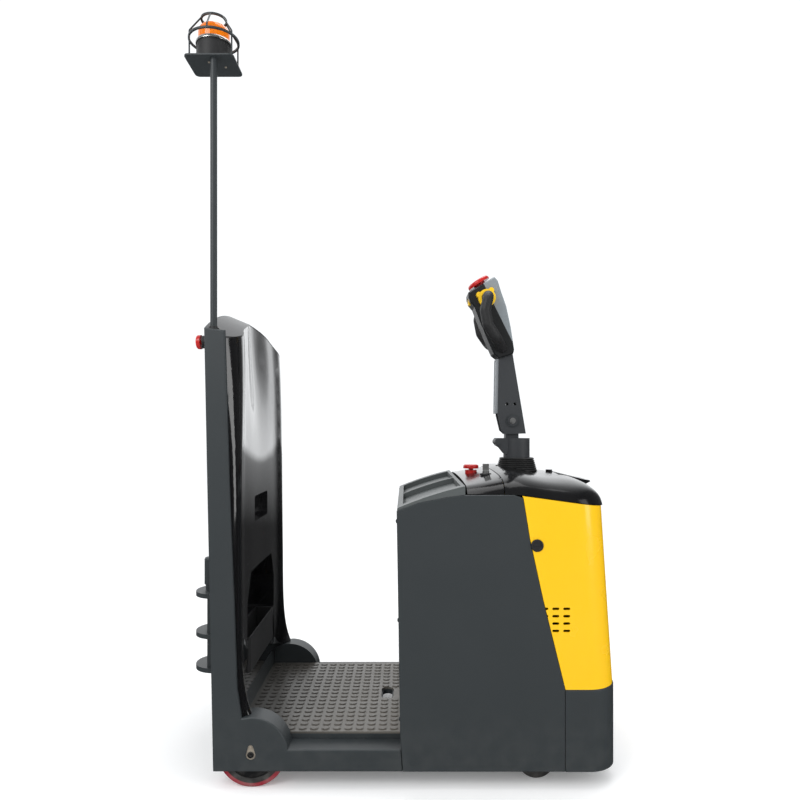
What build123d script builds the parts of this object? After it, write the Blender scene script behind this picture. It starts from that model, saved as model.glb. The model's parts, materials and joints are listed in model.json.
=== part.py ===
from build123d import *
import os
from math import atan2, cos, degrees, hypot, radians, sin, sqrt

os.makedirs("parts", exist_ok=True)

# Stand-on electric tow tractor. Millimetres, +X forward, +Y to the driver's left, +Z up.
# The origin lies on the ground under the middle of the machine.

# Overall
half_width = 360.0
ground_gap = 52.0
plate_t = 10.0
plate_edge_r = 5.0
seam = 1.0

# Driver's platform and sills
sill_top = 116.0
sill_width = 70.0
sill_t = 8.0
beam_width = 50.0
platform_rear_x = -464.0
platform_t = 15.0
mat_t = 6.0
foot_hole_x = -20.0
foot_hole_length = 90.0
foot_hole_width = 33.0

# Backrest column
column_foot_x = -514.0
column_head_x = -540.0
column_head_z = 1333.0
column_rise = 85.0
rear_sheet_t = 4.0
shell_bottom_z = 208.0
shell_wall = 6.0
cap_t = 5.0
cap_fall = 0.42
grip_hole_z = (737.0, 820.0)
grip_hole_half = 99.0
pocket_top_z = 585.0
pocket_half_top = 158.0
pocket_half = 205.0
pocket_corner_r = 14.0
bin_z = (271.0, 382.0)
bin_half = 183.0
bin_front_x = -448.0
bin_wall = 4.0

# Rear wheels
rear_wheel_x = -405.0
rear_wheel_r = 100.0
rear_wheel_width = 45.0
rear_tread_t = 12.0
rear_axle_r = 15.0
wheel_side_gap = 5.5
wheel_arch_gap = 5.0
arch_t = 4.0
running_gap = 0.05
keeper_inset = 3.0
keeper_gap = 0.3
keeper_big_r = 14.0
keeper_small_r = 7.5
keeper_pitch = 22.0

# Tow hitch
hitch_plate_z = (238.0, 350.0, 484.0)
hitch_plate_t = 15.0
hitch_plate_width = 150.0
hitch_nose_x = -672.0
hitch_cheek_x = -619.0
hitch_cheek_y = 54.0
hitch_cheek_t = 8.0
hitch_back_t = 8.0
hitch_pin_x = -627.0
hitch_pin_r = 10.0
hitch_pin_gap = 0.1
hitch_pin_top_z = 602.0
hitch_grip_r = 19.0
hitch_grip_h = 92.0

# Beacon mast
mast_x = -521.0
mast_inset = 35.0
mast_r = 10.0
mast_foot_z = 1200.0
beacon_plate_z = 2127.0
beacon_plate_t = 4.0
beacon_plate_size = (145.0, 124.0)
beacon_x = -532.0
beacon_inset = 76.0
beacon_base_r = 50.0
beacon_base_h = 62.0
lens_r = 46.0
lens_h = 52.0
guard_band = 5.6
guard_rod_r = 2.4
guard_height = 132.0
guard_top_r = 36.0
guard_mid_height = 70.0
guard_mid_r = 72.0
guard_bend_rise = 12.0

# Stop buttons
button_stem_r = 8.0
button_collar_h = 14.0
button_travel = 4.0
button_cap_h = 13.0
console_button_r = 26.0
rear_button_r = 21.0

# Power unit
unit_rear_top = (16.0, 797.0)
unit_rear_mid = (26.0, 159.0)
unit_rear_foot = (34.0, ground_gap)
side_front_x = 502.0
skirt_top_z = 289.0
skirt_wall = 8.0
nose_corner_r = 90.0
nose_side_x = 664.0
nose_bow = 8.0
cover_foot_x = 661.0
cover_head_x = 627.0
cover_wall = 5.0
unit_wall = 6.0
floor_t = 8.0
bulkhead_x = 222.0
bulkhead_t = 8.0
battery_gap = 6.0
battery_top_z = 760.0
lid_rear_x = 18.0
lid_front_x = 214.0
lid_rear_z = 812.0
lid_front_z = 875.5
lid_bow = 5.0
lid_wall = 5.0
lid_side_inset = 2.0
lid_seat_gap = 0.5
pocket_depth = 18.0
pocket_reach = 310.0
pocket_rib = 16.0
console_rear_x = 221.0
hood_seam_x = 329.0
hood_front_x = 628.0
tongue_half = 70.0
vent_x = 443.0
vent_z = 522.0
vent_columns = 3
vent_rows = 4
vent_pitch_x = 31.5
vent_pitch_z = 21.2
vent_length = 20.0
vent_height = 7.5

# Drive unit and steering
steer_x = 421.0
drive_wheel_r = 115.0
drive_wheel_width = 75.0
drive_tread_t = 20.0
drive_axle_r = 22.0
deck_z = 300.0
deck_t = 12.0
turntable_r = 118.0
turntable_bore_r = 100.0
turntable_t = 14.0
bearing_gap = 0.3
motor_r = 80.0
motor_h = 190.0
column_r = 30.0
boot_foot_z = 890.0
boot_head_z = 942.0
boot_foot_r = 71.0
boot_head_r = 58.5
boot_bore_r = 44.0
boot_ribs = 8
boot_rib_depth = 3.5
casting_r = 44.5
casting_top_z = 1008.0
casting_nose_x = 348.0

# Tiller
tiller_x = 403.0
tiller_z = 1067.0
lug_half = 20.0
lug_r = 22.0
arm_gap = 1.0
arm_wall = 9.0
tiller_pin_r = 9.0
pin_head_r = 17.0
pin_head_t = 5.0
arm_hole_r = 5.0
head_half = 42.0
grip_reach = 62.0
grip_r = 18.0
switch_x = 314.0
switch_z = 1478.0
switch_r = 29.0
switch_wing_r = 9.0
switch_lean = 110.0
switch_t = 15.0
head_button_x = 302.0
head_button_z = 1521.0
head_button_lean = 32.0
head_button_r = 40.0
head_button_h = 30.0
head_button_cap_t = 14.0
head_button_travel = 5.0
rocker_x = 255.0
rocker_z = 1462.0
rocker_h = 22.0
rocker_half = 12.0
rocker_depth = 28.0
rocker_travel = 2.0

# Front casters
caster_r = 56.0
caster_wheel_width = 33.0
caster_wheel_gap = 9.0
caster_y = 259.0
caster_x = 449.0
caster_trail = 18.0
caster_plate_z = 128.0
caster_plate_t = 8.0
caster_axle_r = 6.0

mat_top_z = sill_top + platform_t + mat_t
inner_y = half_width - plate_t
platform_half = half_width - sill_width
beacon_y = -half_width + beacon_inset
beacon_seat_z = beacon_plate_z + beacon_plate_t
guard_top_z = beacon_seat_z + guard_height
guard_mid_z = beacon_seat_z + guard_mid_height
column_crown_z = column_head_z + column_rise
wheel_z = rear_wheel_r


def save(shape, name):
    shape.label = name
    export_step(shape, "parts/" + name + ".step")


def column_rear_x(z):
    slope = (column_head_x - column_foot_x) / (column_head_z - ground_gap)
    return column_foot_x + slope * (z - ground_gap)


def box(x0, x1, y0, y1, z0, z1):
    return Pos((x0 + x1) / 2, (y0 + y1) / 2, (z0 + z1) / 2) * Box(x1 - x0, y1 - y0, z1 - z0)


def rod_y(x, z, r, y0, y1):
    return Pos(x, (y0 + y1) / 2, z) * Rot(90, 0, 0) * Cylinder(r, y1 - y0)


def rod_z(x, y, r, z0, z1):
    return Pos(x, y, (z0 + z1) / 2) * Cylinder(r, z1 - z0)


def side_slab(wire_edges, y0, y1):
    """Closed outline in the XZ plane, made solid from y0 to y1."""
    face = make_face(wire_edges)
    return Pos(0, y0, 0) * extrude(face, y1 - y0, dir=(0, 1, 0))


def outline(points):
    """Straight outline through (x, z) points."""
    return Polyline([(x, 0, z) for x, z in points], close=True).edges()


def slab(points, y0, y1):
    return side_slab(outline(points), y0, y1)


def mirrored(shape):
    return mirror(shape, about=Plane.XZ)


# Rear side plates: column side, wheel arch and sill in one flat plate
column_front = [(-479.0, 1326.0), (-467.0, 893.0), (-452.0, 519.0), (-444.0, 289.0), (-431.0, 206.0)]
arch_r = rear_wheel_r + wheel_arch_gap + arch_t
arch_top = (rear_wheel_x, wheel_z + arch_r)
arch_mid = (rear_wheel_x + arch_r * sin(radians(45)), wheel_z + arch_r * sin(radians(45)))
arch_end = (rear_wheel_x + sqrt(arch_r**2 - (sill_top - wheel_z) ** 2), sill_top)
sill_end_x = unit_rear_mid[0] + 3.2 - seam


def arch_edges():
    a = [(p[0], 0, p[1]) for p in (column_front[-1], arch_top, arch_mid, arch_end)]
    return [Line(a[0], a[1]), ThreePointArc(a[1], a[2], a[3])]


def rear_side_outline():
    rear = [(column_rear_x(ground_gap), 0, ground_gap), (column_head_x, 0, column_head_z)]
    front = [(x, 0, z) for x, z in column_front]
    sill = [
        (arch_end[0], 0, arch_end[1]),
        (sill_end_x, 0, sill_top),
        (unit_rear_foot[0] - seam, 0, ground_gap),
        rear[0],
    ]
    return [Polyline(rear + front)] + arch_edges() + [Polyline(sill)]


def keeper_outline(grow):
    """Pear-shaped axle keeper: a large circle below a small one."""
    big = Pos(0, 0) * Circle(keeper_big_r + grow)
    small = Pos(0, keeper_pitch) * Circle(keeper_small_r + grow)
    return make_hull(big.edges() + small.edges())


def keeper(grow, y0, y1):
    face = keeper_outline(grow)
    plane = Plane(origin=(rear_wheel_x, y0, wheel_z), x_dir=(1, 0, 0), z_dir=(0, -1, 0))
    return extrude(plane * face, y1 - y0, dir=(0, 1, 0))


def side_plate():
    edges = []
    for item in rear_side_outline():
        edges += item.edges()
    plate = side_slab(edges, inner_y, half_width)
    outer = plate.faces().sort_by(Axis.Y)[-1]
    plate = fillet(outer.edges(), plate_edge_r)
    return plate - keeper(0.0, inner_y - 1, half_width + 1)


def wheel_box():
    """Inner half of the wheel arch with the sill ledge, seen in front of the wheel."""
    rear = column_rear_x(shell_bottom_z) + rear_sheet_t + 0.2
    edges = arch_edges()
    edges.append(
        Polyline(
            [
                (arch_end[0], 0, sill_top),
                (arch_end[0], 0, ground_gap + 8),
                (rear, 0, ground_gap + 8),
                (rear, 0, column_front[-1][1]),
                (column_front[-1][0], 0, column_front[-1][1]),
            ]
        )
    )
    flat = []
    for item in edges:
        flat += item.edges()
    body = side_slab(flat, platform_half, inner_y)
    well_r = rear_wheel_r + wheel_arch_gap
    well = rod_y(rear_wheel_x, wheel_z, well_r, platform_half + 4, inner_y + 1)
    well += box(rear_wheel_x - well_r, rear_wheel_x + well_r, platform_half + 4, inner_y + 1, 0, wheel_z)
    body -= well
    body -= rod_y(rear_wheel_x, wheel_z, rear_axle_r + 1, platform_half - 1, platform_half + 5)
    body += box(arch_end[0] - 1, sill_end_x, platform_half, inner_y, sill_top - sill_t, sill_top)
    return body


def platform_plate():
    body = box(platform_rear_x, unit_rear_mid[0] + 1.5, -platform_half, platform_half, sill_top, sill_top + platform_t)
    return body - foot_hole(0.0)


def foot_hole(grow):
    slot = SlotOverall(foot_hole_length + 2 * grow, foot_hole_width + 2 * grow, rotation=90)
    return Pos(foot_hole_x, 0, 0) * extrude(slot, 300)


def platform_mat():
    z = sill_top + platform_t
    body = box(platform_rear_x, unit_rear_mid[0] - 0.5, -platform_half, platform_half, z, z + mat_t)
    return body - foot_hole(4.0)


def kick_plate():
    return box(platform_rear_x - 3, platform_rear_x, -platform_half, platform_half, sill_top, shell_bottom_z)


def arch_prism(drop, x0, x1):
    """Everything below the arched head of the column, falling towards the front."""
    z_side = column_head_z - drop
    z_mid = column_head_z + column_rise - drop
    edge = ThreePointArc((x0, -half_width, z_side), (x0, 0, z_mid), (x0, half_width, z_side))
    sides = Polyline([(x0, half_width, z_side), (x0, half_width, 0), (x0, -half_width, 0), (x0, -half_width, z_side)])
    face = make_face(edge.edges() + sides.edges())
    run = x1 - x0
    return extrude(face, amount=hypot(run, run * cap_fall), dir=(1, 0, -cap_fall))


def rear_panel():
    z0 = ground_gap + floor_t
    z1 = column_head_z + column_rise
    pts = [
        (column_rear_x(z0), z0),
        (column_rear_x(z1), z1),
        (column_rear_x(z1) + rear_sheet_t, z1),
        (column_rear_x(z0) + rear_sheet_t, z0),
    ]
    sheet = slab(pts, -inner_y, inner_y)
    sheet = sheet & arch_prism(0.0, column_rear_x(z1) - 5, -300)
    for side in (-1, 1):
        y0, y1 = sorted((side * platform_half, side * half_width))
        sheet -= box(-600, -400, y0, y1, 0, shell_bottom_z)
    sheet -= rear_stop_hole()
    return sheet - grip_cut(0.0)


def rear_stop_hole():
    """Clearance hole for the stem of the rear stop button."""
    return rear_stop_face * Cylinder(button_stem_r + bearing_gap, 40)


def grip_cut(grow):
    g = grip_hole_half + grow
    cut = box(-600, -400, -g, g, grip_hole_z[0] - grow, grip_hole_z[1] + grow)
    return fillet(cut.edges().filter_by(Axis.X), 12.0 + grow)


# Backrest shell sections: height, side edge, crest position and depth, middle face, valley on the centre line
shell_sections = [
    (column_crown_z + 7, -482.0, 262.0, -456.0, -470.0, -492.0),
    (1326.0, -479.0, 270.0, -447.0, -463.0, -486.0),
    (1180.0, -475.0, 288.0, -441.0, -457.0, -474.0),
    (1040.0, -471.0, 306.0, -440.0, -455.0, -461.0),
    (893.0, -467.0, 322.0, -441.0, -453.0, -454.0),
    (700.0, -459.0, 330.0, -441.0, -452.0, -453.0),
    (519.0, -452.0, 334.0, -440.0, -450.0, -451.0),
    (350.0, -447.0, 334.0, -436.0, -452.0, -453.0),
    (262.0, -441.0, 334.0, -425.0, -457.0, -458.0),
    (shell_bottom_z, -432.0, 334.0, -408.0, -461.0, -462.0),
]
shoulder_share = 0.86
flat_share = 0.55


def shell_section(z, edge_x, crest_y, crest_x, face_x, valley_x, grow):
    y_edge = inner_y - grow
    rear_x = column_rear_x(z) + rear_sheet_t + grow
    half_front = [
        (edge_x, y_edge),
        (crest_x, crest_y),
        ((crest_x + face_x) / 2, crest_y * shoulder_share),
        (face_x, crest_y * flat_share),
    ]
    right = [(x, -y) for x, y in reversed(half_front)]
    front = half_front + [(valley_x, 0.0)] + right
    curve = Spline([(x, y, z) for x, y in front])
    back = Polyline(
        [(front[-1][0], -y_edge, z), (rear_x, -y_edge, z), (rear_x, y_edge, z), (front[0][0], y_edge, z)]
    )
    return make_face(curve.edges() + back.edges())


def shell_block(grow):
    return loft([shell_section(*s, grow) for s in reversed(shell_sections)])


def pocket_cut(grow):
    pts = [
        (-pocket_half_top - grow, pocket_top_z + grow),
        (pocket_half_top + grow, pocket_top_z + grow),
        (pocket_half + grow, 495.0),
        (pocket_half + grow, bin_z[1] - 1),
        (-pocket_half - grow, bin_z[1] - 1),
        (-pocket_half - grow, 495.0),
    ]
    face = make_face(Polyline([(0, y, z) for y, z in pts], close=True).edges())
    rear_x = column_rear_x(bin_z[0]) + rear_sheet_t + 1
    cut = Pos(rear_x, 0, 0) * extrude(face, 140, dir=(1, 0, 0))
    return fillet(cut.edges().filter_by(Axis.X).sort_by(Axis.Z)[-4:], pocket_corner_r)


def bin_cut(grow):
    rear_x = column_rear_x(bin_z[0]) + rear_sheet_t + 1
    g = bin_half + grow
    return box(rear_x, -400, -g, g, bin_z[0] - grow, bin_z[1] + grow)


def backrest_shell():
    body = shell_block(0.0)
    body = body & arch_prism(cap_t, column_rear_x(column_crown_z) - 5, -300)
    cavity = box(-600, -462 - shell_wall, -inner_y + shell_wall, inner_y - shell_wall, 600, 730)
    cavity += box(-600, -464 - shell_wall, -inner_y + shell_wall, inner_y - shell_wall, 828, 1040)
    cavity += box(-600, -492 - shell_wall, -inner_y + shell_wall, inner_y - shell_wall, 1040, 1290)
    body -= cavity
    body -= grip_cut(0.0)
    body -= pocket_cut(0.0)
    body -= bin_cut(0.3)
    for side in (-1, 1):
        y0, y1 = sorted((side * platform_half, side * half_width))
        body -= box(-600, -300, y0, y1, 0, arch_top[1] + 0.3)
    y = -half_width + mast_inset
    slot = mast_r + 0.3
    body -= rear_stop_hole()
    return body - box(-600, mast_x + slot, y - slot, y + slot, mast_foot_z, column_crown_z + 80)


def top_cap():
    body = shell_block(0.0)
    x0 = column_rear_x(column_crown_z) - 5
    body = body & arch_prism(0.0, x0, -300)
    body -= arch_prism(cap_t, x0, -300)
    y = -half_width + mast_inset
    slot = mast_r + 0.3
    return body - box(mast_x - slot, mast_x + slot, y - slot, y + slot, mast_foot_z, column_crown_z + 80)


def storage_bin():
    rear_x = column_rear_x(bin_z[0]) + rear_sheet_t + 1
    outer = box(rear_x, bin_front_x, -bin_half, bin_half, bin_z[0], bin_z[1])
    outer = fillet(outer.edges().filter_by(Axis.Z).sort_by(Axis.X)[-2:], 12.0)
    w = bin_wall
    return outer - box(rear_x + w, bin_front_x - w, -bin_half + w, bin_half - w, bin_z[0] + w, bin_z[1] + 1)


def hitch_bracket():
    low = hitch_plate_z[0] - hitch_plate_t
    high = hitch_plate_z[2] + hitch_plate_t
    pts = [
        (column_rear_x(low), low),
        (column_rear_x(high), high),
        (column_rear_x(high) - hitch_back_t, high),
        (column_rear_x(low) - hitch_back_t, low),
    ]
    body = slab(pts, -hitch_plate_width / 2, hitch_plate_width / 2)
    for side in (-1, 1):
        y0, y1 = sorted((side * hitch_cheek_y, side * (hitch_cheek_y + hitch_cheek_t)))
        cheek = [
            (column_rear_x(low), low),
            (column_rear_x(high), high),
            (hitch_cheek_x, high - 20),
            (hitch_cheek_x, low + 10),
        ]
        body += slab(cheek, y0, y1)
    for z in hitch_plate_z:
        body += hitch_plate(z)
    foot = ground_gap
    head = column_head_z
    ahead = [(column_rear_x(foot), foot), (column_rear_x(head), head), (-400, head), (-400, foot)]
    return body - slab(ahead, -half_width, half_width)


def hitch_plate(z):
    r = hitch_plate_width / 2
    x_mid = hitch_nose_x + r
    flat = Pos(x_mid, 0) * Circle(r)
    flat += Pos((x_mid + column_rear_x(z)) / 2, 0) * Rectangle(column_rear_x(z) - x_mid, 2 * r)
    flat -= Pos(hitch_pin_x, 0) * Circle(hitch_pin_r + hitch_pin_gap)
    return Pos(0, 0, z - hitch_plate_t / 2) * extrude(flat, hitch_plate_t)


def hitch_pin():
    foot = hitch_plate_z[1] - hitch_plate_t / 2 - 12
    grip_z = hitch_pin_top_z - hitch_grip_h
    collar_z = hitch_plate_z[2] + hitch_plate_t / 2
    body = rod_z(hitch_pin_x, 0, hitch_pin_r, foot, hitch_pin_top_z - 10)
    body = chamfer(body.faces().sort_by(Axis.Z)[0].edges(), 3)
    body += rod_z(hitch_pin_x, 0, hitch_grip_r, grip_z, hitch_pin_top_z)
    body += rod_z(hitch_pin_x, 0, 15, collar_z, grip_z)
    return fillet(body.faces().sort_by(Axis.Z)[-1].edges(), 8)


def rear_wheel_parts():
    y0 = platform_half + 4 + wheel_side_gap
    y1 = y0 + rear_wheel_width
    core_r = rear_wheel_r - rear_tread_t
    tread = rod_y(rear_wheel_x, wheel_z, rear_wheel_r, y0, y1)
    tread = fillet(tread.edges().filter_by(GeomType.CIRCLE), 4)
    tread -= rod_y(rear_wheel_x, wheel_z, core_r, y0, y1)
    hub = rod_y(rear_wheel_x, wheel_z, core_r, y0, y1)
    hub -= rod_y(rear_wheel_x, wheel_z, rear_axle_r + running_gap, y0 - 1, y1 + 1)
    dish = rod_y(rear_wheel_x, wheel_z, core_r - 14, y1 - 9, y1 + 1)
    dish -= rod_y(rear_wheel_x, wheel_z, rear_axle_r + 14, y1 - 10, y1 + 2)
    hub -= dish
    return tread, hub


def rear_axle():
    return rod_y(rear_wheel_x, wheel_z, rear_axle_r, platform_half, inner_y)


def axle_keeper():
    return keeper(-keeper_gap, inner_y, half_width - keeper_inset)


# Power unit
def unit_rear_x(z):
    a, b, c = unit_rear_top, unit_rear_mid, unit_rear_foot
    if z >= b[1]:
        return b[0] + (a[0] - b[0]) * (z - b[1]) / (a[1] - b[1])
    return b[0] + (c[0] - b[0]) * (b[1] - z) / (b[1] - c[1])


side_top = [(16.0, 804.0), (80.0, 827.0), (160.0, 843.0), (207.0, 849.0), (356.0, 850.0), (381.0, 841.0)]
side_front = [(381.0, 841.0), (400.0, 722.0), (438.0, 548.0), (side_front_x, skirt_top_z)]


def power_side():
    pts = [unit_rear_foot, unit_rear_mid, unit_rear_top] + side_top + side_front[1:] + [(side_front_x, ground_gap)]
    plate = slab(pts, inner_y, half_width)
    outer = plate.faces().sort_by(Axis.Y)[-1]
    return fillet(outer.edges(), plate_edge_r / 2)


def operator_wall():
    t = unit_wall
    floor_z = ground_gap + floor_t
    pts = [
        (unit_rear_x(floor_z), floor_z),
        unit_rear_mid,
        unit_rear_top,
        (unit_rear_top[0] + t, unit_rear_top[1]),
        (unit_rear_mid[0] + t, unit_rear_mid[1]),
        (unit_rear_x(floor_z) + t, floor_z),
    ]
    return slab(pts, -inner_y, inner_y)


def nose_plan(inset, corner, rear_x, side_x, bow):
    """Plan outline of the front end: straight sides, round corners, bowed front."""
    hw = half_width - inset
    fx = side_x - inset
    r = corner
    c = r * (1 - cos(radians(45)))
    edges = [
        Line((rear_x, -hw), (fx - r, -hw)),
        ThreePointArc((fx - r, -hw), (fx - c, -hw + c), (fx, -hw + r)),
        ThreePointArc((fx, -hw + r), (fx + bow, 0), (fx, hw - r)),
        ThreePointArc((fx, hw - r), (fx - c, hw - c), (fx - r, hw)),
        Line((fx - r, hw), (rear_x, hw)),
        Line((rear_x, hw), (rear_x, -hw)),
    ]
    flat = []
    for item in edges:
        flat += item.edges()
    return make_face(flat)


def bumper_skirt():
    outer = Pos(0, 0, ground_gap) * extrude(
        nose_plan(0, nose_corner_r, side_front_x + seam, nose_side_x, nose_bow), skirt_top_z - ground_gap
    )
    top = outer.faces().sort_by(Axis.Z)[-1]
    outer = fillet(top.edges().filter_by(lambda e: e.center().X > side_front_x + 5), 5)
    w = skirt_wall
    inner = Pos(0, 0, ground_gap - 1) * extrude(
        nose_plan(w, nose_corner_r - w, side_front_x - 5, nose_side_x, nose_bow), skirt_top_z - ground_gap - w + 1
    )
    hole = Pos(0, 0, ground_gap) * extrude(nose_plan(36, 60, side_front_x - 5, nose_side_x, nose_bow), 400)
    return outer - inner - hole


def cover_block(inset):
    z0, z1 = skirt_top_z - (5 if inset else 0), 900.0
    lean = (cover_head_x - cover_foot_x) / (814.0 - skirt_top_z)
    low = nose_plan(inset, nose_corner_r - inset, 300, cover_foot_x + lean * (z0 - skirt_top_z), nose_bow)
    high = nose_plan(inset, nose_corner_r - inset, 300, cover_foot_x + lean * (z1 - skirt_top_z), nose_bow)
    return loft([Pos(0, 0, z0) * low, Pos(0, 0, z1) * high])


def front_cover():
    pts = [(x + seam, z) for x, z in side_front]
    pts = [(cover_foot_x + 50, skirt_top_z), pts[3], pts[2], pts[1], pts[0], (378.0, 847.0), (616.0, 814.0), (700, 806)]
    keep = slab(pts, -half_width, half_width)
    body = (cover_block(0) - cover_block(cover_wall)) & keep
    slot = Pos(0, 0) * SlotOverall(vent_length, vent_height)
    for column in range(vent_columns):
        for row in range(vent_rows):
            x = vent_x + column * vent_pitch_x
            z = vent_z - row * vent_pitch_z
            plane = Plane(origin=(x, -half_width - 40, z), x_dir=(1, 0, 0), z_dir=(0, -1, 0))
            body -= extrude(plane * slot, 2 * half_width + 80, dir=(0, 1, 0))
    return body


def top_section(x, z_side, z_mid, half, z_floor):
    """Upright section across the hood: low sides and an arched top."""
    rise = z_mid - z_side
    pts = [
        (x, -half, z_side),
        (x, -half * 0.94, z_side + 0.50 * rise),
        (x, -half * 0.80, z_side + 0.78 * rise),
        (x, -half * 0.45, z_side + 0.94 * rise),
        (x, 0, z_mid),
        (x, half * 0.45, z_side + 0.94 * rise),
        (x, half * 0.80, z_side + 0.78 * rise),
        (x, half * 0.94, z_side + 0.50 * rise),
        (x, half, z_side),
    ]
    top = Spline(pts)
    rest = Polyline([(x, half, z_side), (x, half, z_floor), (x, -half, z_floor), (x, -half, z_side)])
    return make_face(top.edges() + rest.edges())


def console_cover():
    outer = loft([top_section(console_rear_x, 851.5, 880, inner_y, 800), top_section(hood_seam_x - 1, 851.5, 903, inner_y, 800)])
    inner = loft(
        [
            top_section(console_rear_x + 5, 846, 875, inner_y - 5, 795),
            top_section(hood_seam_x, 846, 898, inner_y - 5, 795),
        ]
    )
    body = outer - inner
    body = body & box(0, 900, -400, 400, 835, 1000)
    body -= console_stop_spot * Cylinder(console_button_r - 6, 60)
    return body - key_spot * Cylinder(key_r, 60)


hood_sections = [
    (hood_seam_x + 1, 851.5, 904.0, 355.0),
    (421.0, 842.0, 906.0, 355.0),
    (532.0, 827.0, 893.0, 352.0),
    (hood_front_x - 38, 819.5, 882.0, 334.0),
    (hood_front_x - 8, 816.0, 862.0, 306.0),
    (hood_front_x + 6, 814.0, 826.0, 262.0),
]


def hood_cover():
    outer = loft([top_section(x, zs, zm, h, 780) for x, zs, zm, h in hood_sections])
    inner = loft([top_section(x, zs - 5, zm - 5, h - 6, 775) for x, zs, zm, h in hood_sections])
    inner = Pos(-6, 0, 0) * inner
    body = outer - inner
    keep = [(300, 852.7), (378, 849.2), (616, 814.8), (700, 806.8), (700, 1000), (300, 1000)]
    body = body & slab(keep, -half_width, half_width)
    tongue = [(550, 880), (550, 893), (640, 871), (652, 870), (654, 865), (640, 858), (628, 850)]
    body += slab(tongue, -tongue_half, tongue_half)
    body += rod_z(532, 0, 11, 885, 901)
    body -= rod_z(steer_x, 0, boot_foot_r + 0.5, 700, 1000)
    return body


def lid_line(x):
    """Height of the lid's top face along its slightly bowed slope."""
    u = (x - lid_rear_x) / (lid_front_x - lid_rear_x)
    return lid_rear_z + (lid_front_z - lid_rear_z) * u + lid_bow * 4 * u * (1 - u)


def lid_strip(x0, x1, low, high, y0, y1):
    xs = [x0, (x0 + x1) / 2, x1]
    top = [(x, 0, lid_line(x) - high) for x in xs]
    foot = [(x, 0, lid_line(x) - low) for x in xs]
    edges = [
        ThreePointArc(*top),
        Line(top[2], foot[2]),
        ThreePointArc(*foot[::-1]),
        Line(foot[0], top[0]),
    ]
    flat = []
    for item in edges:
        flat += item.edges()
    return side_slab(flat, y0, y1)


def battery_lid():
    half = half_width - lid_side_inset
    rim = lid_strip(lid_rear_x, lid_front_x, 60, 0, -half, half)
    keep = [(x, z + lid_seat_gap) for x, z in side_top[:4]]
    keep = [(lid_rear_x - 5, keep[0][1] - 2), *keep, (lid_front_x + 5, keep[3][1]), (lid_front_x + 5, 950)]
    rim = rim & slab([*keep, (lid_rear_x - 5, 950)], -half, half)
    x0, x1 = lid_rear_x + unit_wall + 4, lid_front_x - 4
    inside = inner_y - 4
    rim += lid_strip(x0, x1, pocket_depth + lid_wall, 0, -inside, inside)
    for side in (-1, 1):
        y0, y1 = sorted((side * pocket_rib / 2, side * pocket_reach))
        rim -= lid_strip(x0 + 6, x1 - 6, pocket_depth, -10, y0, y1)
    return rim


def battery():
    x0 = unit_rear_foot[0] + unit_wall + battery_gap
    x1 = bulkhead_x - battery_gap
    half = inner_y - 20
    body = box(x0, x1, -half, half, ground_gap + floor_t, battery_top_z)
    return body


# Frame
def frame():
    beam_end_x = unit_rear_mid[0]
    body = box(beam_end_x - 30, bulkhead_x + bulkhead_t, -inner_y, inner_y, ground_gap, ground_gap + floor_t)
    body += box(bulkhead_x, bulkhead_x + bulkhead_t, -inner_y, inner_y, ground_gap, 790)
    body += box(bulkhead_x, 600, -inner_y + 6, inner_y - 6, deck_z, deck_z + deck_t)
    body -= rod_z(steer_x, 0, turntable_bore_r, deck_z - 1, deck_z + deck_t + 1)
    corner = box(560, 700, -400, 400, 0, 400) - Pos(0, 0, 200) * extrude(nose_plan(12, 78, 500, nose_side_x, nose_bow), 200)
    body -= corner
    for side in (-1, 1):
        body += rod_z(caster_x, side * caster_y, 40, caster_plate_z, deck_z)
        y0, y1 = sorted((side * (platform_half - beam_width), side * platform_half))
        body += box(platform_rear_x, beam_end_x, y0, y1, ground_gap + 8, sill_top)
    body += box(platform_rear_x - 3, platform_rear_x + 40, -platform_half, platform_half, ground_gap + 8, sill_top)
    body += box(-140, -100, -platform_half, platform_half, ground_gap + 8, sill_top)
    body += box(beam_end_x - 30, beam_end_x, -platform_half, platform_half, ground_gap, sill_top)
    return body


def drive_unit():
    z0 = deck_z + deck_t + bearing_gap
    body = rod_z(steer_x, 0, turntable_r, z0, z0 + turntable_t)
    body += rod_z(steer_x, 0, turntable_bore_r - running_gap, deck_z - 14, z0)
    body += rod_z(steer_x, 0, motor_r, z0 + turntable_t, z0 + turntable_t + motor_h)
    wheel_half = drive_wheel_width / 2
    leg = box(steer_x - 48, steer_x + 48, wheel_half + 8, wheel_half + 58, drive_wheel_r, deck_z - 14)
    leg += rod_y(steer_x, drive_wheel_r, 48, wheel_half + 8, wheel_half + 58)
    body += leg
    body += rod_y(steer_x, drive_wheel_r, drive_axle_r, -wheel_half + 10, wheel_half + 8)
    return body


def steering_column():
    z0 = deck_z + deck_t + bearing_gap + turntable_t + motor_h
    return rod_z(steer_x, 0, column_r, z0, boot_head_z + bearing_gap)


def drive_wheel_parts():
    half = drive_wheel_width / 2
    core = drive_wheel_r - drive_tread_t
    tread = rod_y(steer_x, drive_wheel_r, drive_wheel_r, -half, half)
    tread = fillet(tread.edges().filter_by(GeomType.CIRCLE), 5)
    tread -= rod_y(steer_x, drive_wheel_r, core, -half, half)
    hub = rod_y(steer_x, drive_wheel_r, core, -half, half)
    hub -= rod_y(steer_x, drive_wheel_r, drive_axle_r + running_gap, -half + 10 - 0.3, half + 1)
    return tread, hub


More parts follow.
